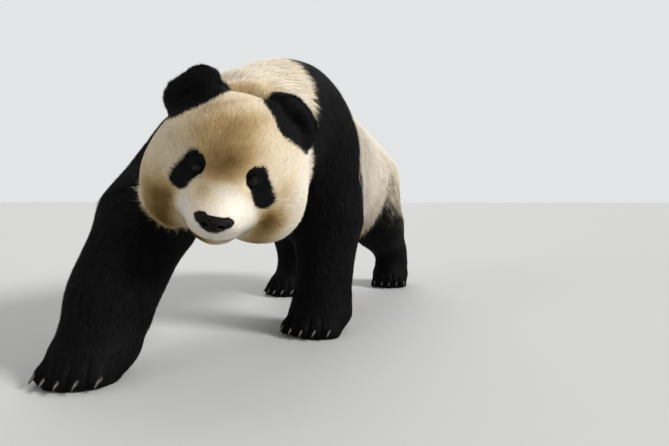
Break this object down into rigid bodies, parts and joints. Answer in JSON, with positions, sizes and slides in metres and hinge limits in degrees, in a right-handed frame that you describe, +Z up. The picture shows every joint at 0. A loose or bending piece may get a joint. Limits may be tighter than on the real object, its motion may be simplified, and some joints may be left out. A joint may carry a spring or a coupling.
{
  "type": "giant panda",
  "caption": "Life-size still model of an adult giant panda in mid-walk, head low, turned and tilted, standing on its flat soles.",
  "frame": {"origin": "middle of the bounding box's footprint, at floor level", "axes": "+X the animal's left, +Y towards its rump, +Z up; millimetres in the source, metres in this record"},
  "size_m": [0.5262, 1.4096, 0.6975],
  "materials": {
    "white_fur": "matt cream-white fur, tinged tan on the forehead, cheeks and flanks",
    "black_fur": "matt black fur with a faint sheen",
    "nose": "pebbled, slightly moist",
    "eye": "wet gloss over a dark brown iris",
    "claw": "dull dark horn"
  },
  "bodies": {
    "root": {"head": "white_fur", "muzzle": "white_fur", "neck": "white_fur", "trunk": "white_fur", "tail": "white_fur", "ear_left": "black_fur", "ear_right": "black_fur", "chest": "black_fur", "foreleg_left_upper": "black_fur", "foreleg_left_lower": "black_fur", "foreleg_left_paw": "black_fur", "foreleg_right_upper": "black_fur", "foreleg_right_lower": "black_fur", "foreleg_right_paw": "black_fur", "hindleg_left_upper": "black_fur", "hindleg_left_lower": "black_fur", "hindleg_left_paw": "black_fur", "hindleg_right_upper": "black_fur", "hindleg_right_lower": "black_fur", "hindleg_right_paw": "black_fur", "nose": "nose", "eye_left": "eye", "eye_right": "eye", "foreleg_left_claw_1": "claw", "foreleg_left_claw_2": "claw", "foreleg_left_claw_3": "claw", "foreleg_left_claw_4": "claw", "foreleg_left_claw_5": "claw", "foreleg_right_claw_1": "claw", "foreleg_right_claw_2": "claw", "foreleg_right_claw_3": "claw", "foreleg_right_claw_4": "claw", "foreleg_right_claw_5": "claw", "hindleg_left_claw_1": "claw", "hindleg_left_claw_2": "claw", "hindleg_left_claw_3": "claw", "hindleg_left_claw_4": "claw", "hindleg_left_claw_5": "claw", "hindleg_right_claw_1": "claw", "hindleg_right_claw_2": "claw", "hindleg_right_claw_3": "claw", "hindleg_right_claw_4": "claw", "hindleg_right_claw_5": "claw"}
  },
  "joints": []
}
